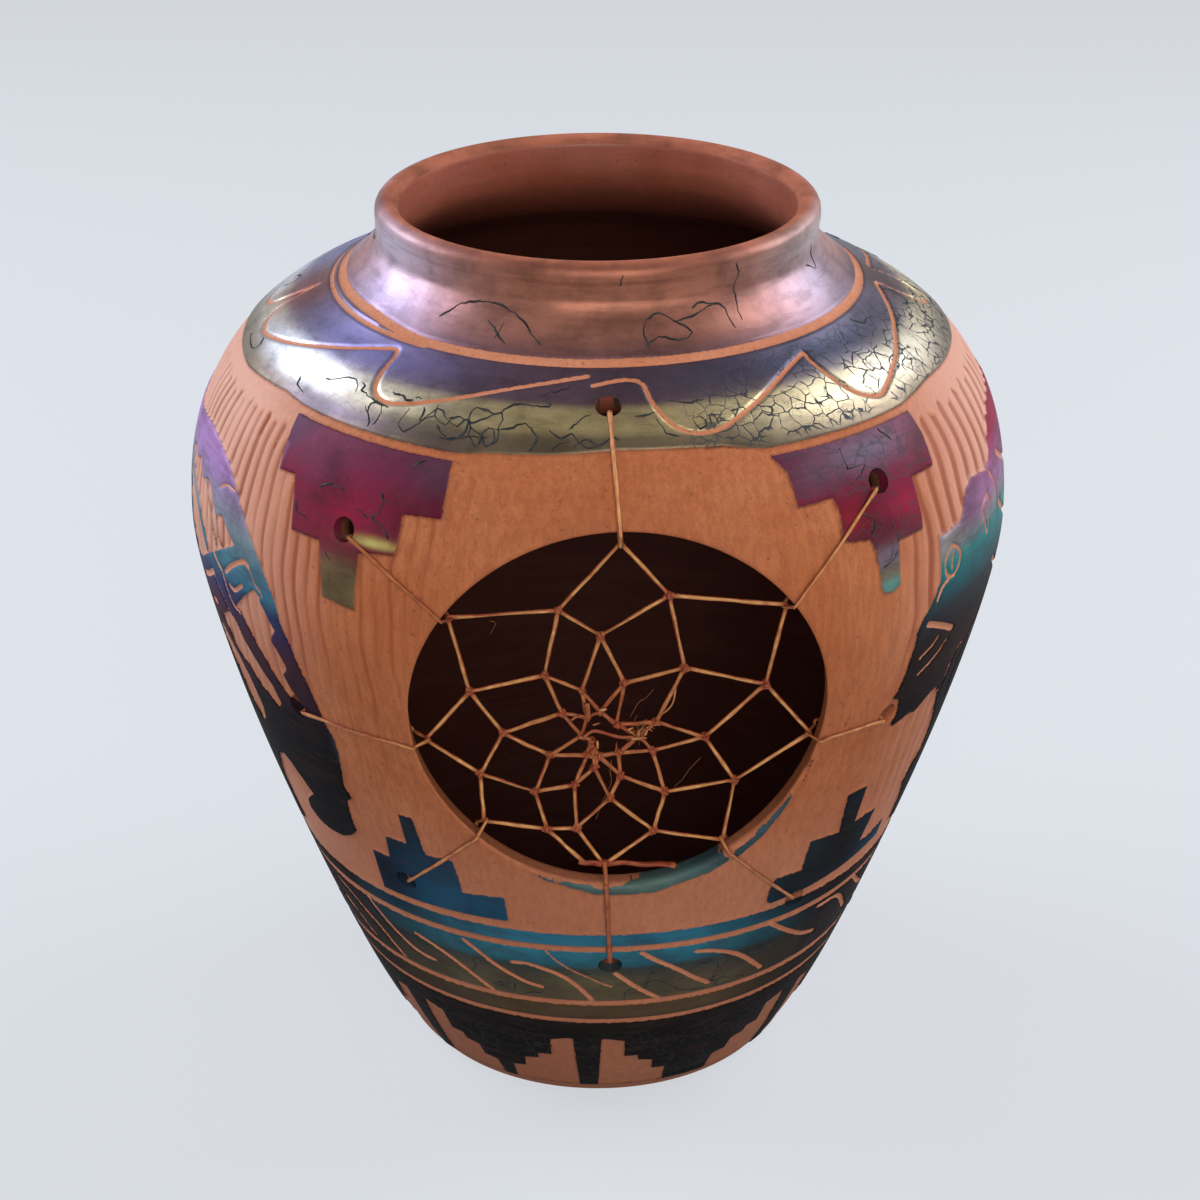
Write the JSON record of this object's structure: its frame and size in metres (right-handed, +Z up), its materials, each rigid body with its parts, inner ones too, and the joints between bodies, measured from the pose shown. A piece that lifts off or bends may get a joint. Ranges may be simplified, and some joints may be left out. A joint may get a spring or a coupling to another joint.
{
  "type": "ceramic pot with webbed window",
  "caption": "Standing clay pot with a short neck and a round front window that holds a laced web of waxed sinew.",
  "frame": {"origin": "centre of the foot, on the surface that the pot stands on", "axes": "+Z up along the pot's turning axis, -Y out of the window, +X to the right as the window is seen"},
  "size_m": [0.18, 0.176, 0.1999],
  "materials": {
    "clay": "burnished, smoke-fired and glossy with matt carved clay",
    "sinew": "waxed"
  },
  "bodies": {
    "root": {"vessel": "clay", "lacing_loop_top": "sinew", "lacing_loop_upper_right": "sinew", "lacing_loop_right": "sinew", "lacing_loop_lower_right": "sinew", "lacing_loop_bottom": "sinew", "lacing_loop_lower_left": "sinew", "lacing_loop_left": "sinew", "lacing_loop_upper_left": "sinew", "web": "sinew"}
  },
  "joints": []
}
